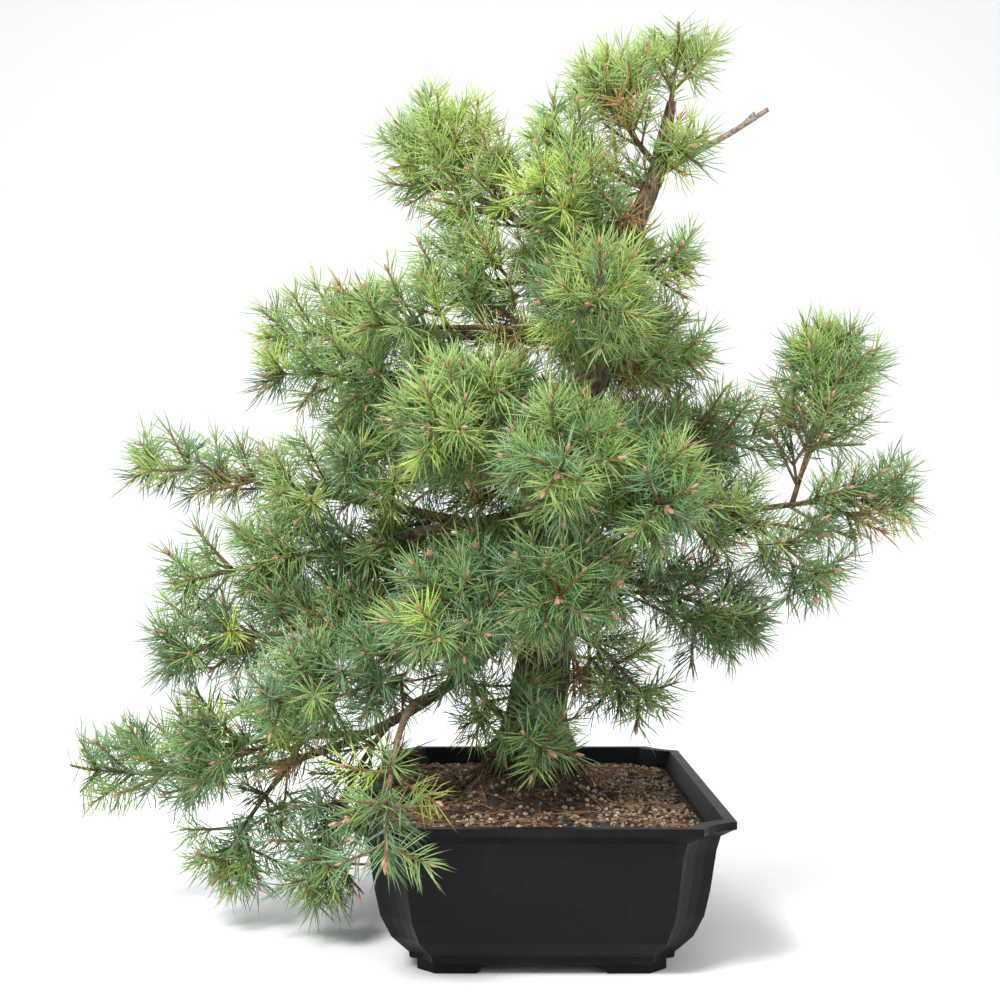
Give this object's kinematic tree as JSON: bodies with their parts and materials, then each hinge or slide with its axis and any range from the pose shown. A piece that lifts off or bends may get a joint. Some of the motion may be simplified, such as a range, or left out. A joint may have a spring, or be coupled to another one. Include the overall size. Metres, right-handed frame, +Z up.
{
  "type": "potted scots pine bonsai",
  "caption": "Young pine trained as a bonsai: leaning tapered trunk, long low left bough, open needled crown, in a rectangular black container of soil.",
  "frame": {"origin": "on the ground under the middle of the whole plant's bounding box", "axes": "+Z up, -Y towards the viewer, +X to the right"},
  "size_m": [1.044, 0.6646, 1.103],
  "materials": {
    "container": "matte black moulded plastic, slightly dusty",
    "soil": "granular potting soil",
    "bark": "scaly bark",
    "deadwood": "weathered bare wood",
    "foliage": "green needles",
    "label": "plain yellow plastic strip"
  },
  "bodies": {
    "root": {"pot": "container", "soil": "soil", "trunk": "bark", "dead_limb": "deadwood", "label_tie": "label", "bough_upper_spur": "bark", "bough_mid_far_left": "bark", "bough_left_arm": "bark", "bough_right_arm": "bark", "bough_right_leader": "bark", "bough_right_drop": "bark", "bough_low_left": "bark", "bough_far_left": "bark", "bough_far_left_mid": "bark", "bough_hanging_left": "bark", "bough_bottom_left": "bark", "bough_pot_front": "bark", "bough_base_front": "bark", "foliage_apex": "foliage", "foliage_top_left_tip": "foliage", "foliage_top_left": "foliage", "foliage_top_right": "foliage", "foliage_upper_spur": "foliage", "foliage_upper_left": "foliage", "foliage_upper_mid": "foliage", "foliage_upper_right": "foliage", "foliage_upper_back": "foliage", "foliage_mid_far_left": "foliage", "foliage_mid_left": "foliage", "foliage_mid_front": "foliage", "foliage_mid_right": "foliage", "foliage_mid_back": "foliage", "foliage_left_upper_arm": "foliage", "foliage_left_arm": "foliage", "foliage_left_inner": "foliage", "foliage_front_left": "foliage", "foliage_front_mid": "foliage", "foliage_front_right": "foliage", "foliage_right_inner": "foliage", "foliage_right_mid": "foliage", "foliage_back_left": "foliage", "foliage_back_right": "foliage", "foliage_right_arm": "foliage", "foliage_right_leader": "foliage", "foliage_right_drop": "foliage", "foliage_front_low": "foliage", "foliage_back_low": "foliage", "foliage_right_low": "foliage", "foliage_right_hang": "foliage", "foliage_left_low_far": "foliage", "foliage_low_left": "foliage", "foliage_low_left_back": "foliage", "foliage_low_left_front": "foliage", "foliage_front_low_left": "foliage", "foliage_far_left": "foliage", "foliage_far_left_mid": "foliage", "foliage_hanging_left": "foliage", "foliage_bottom_left": "foliage", "foliage_pot_front": "foliage", "foliage_base_front": "foliage"}
  },
  "joints": []
}
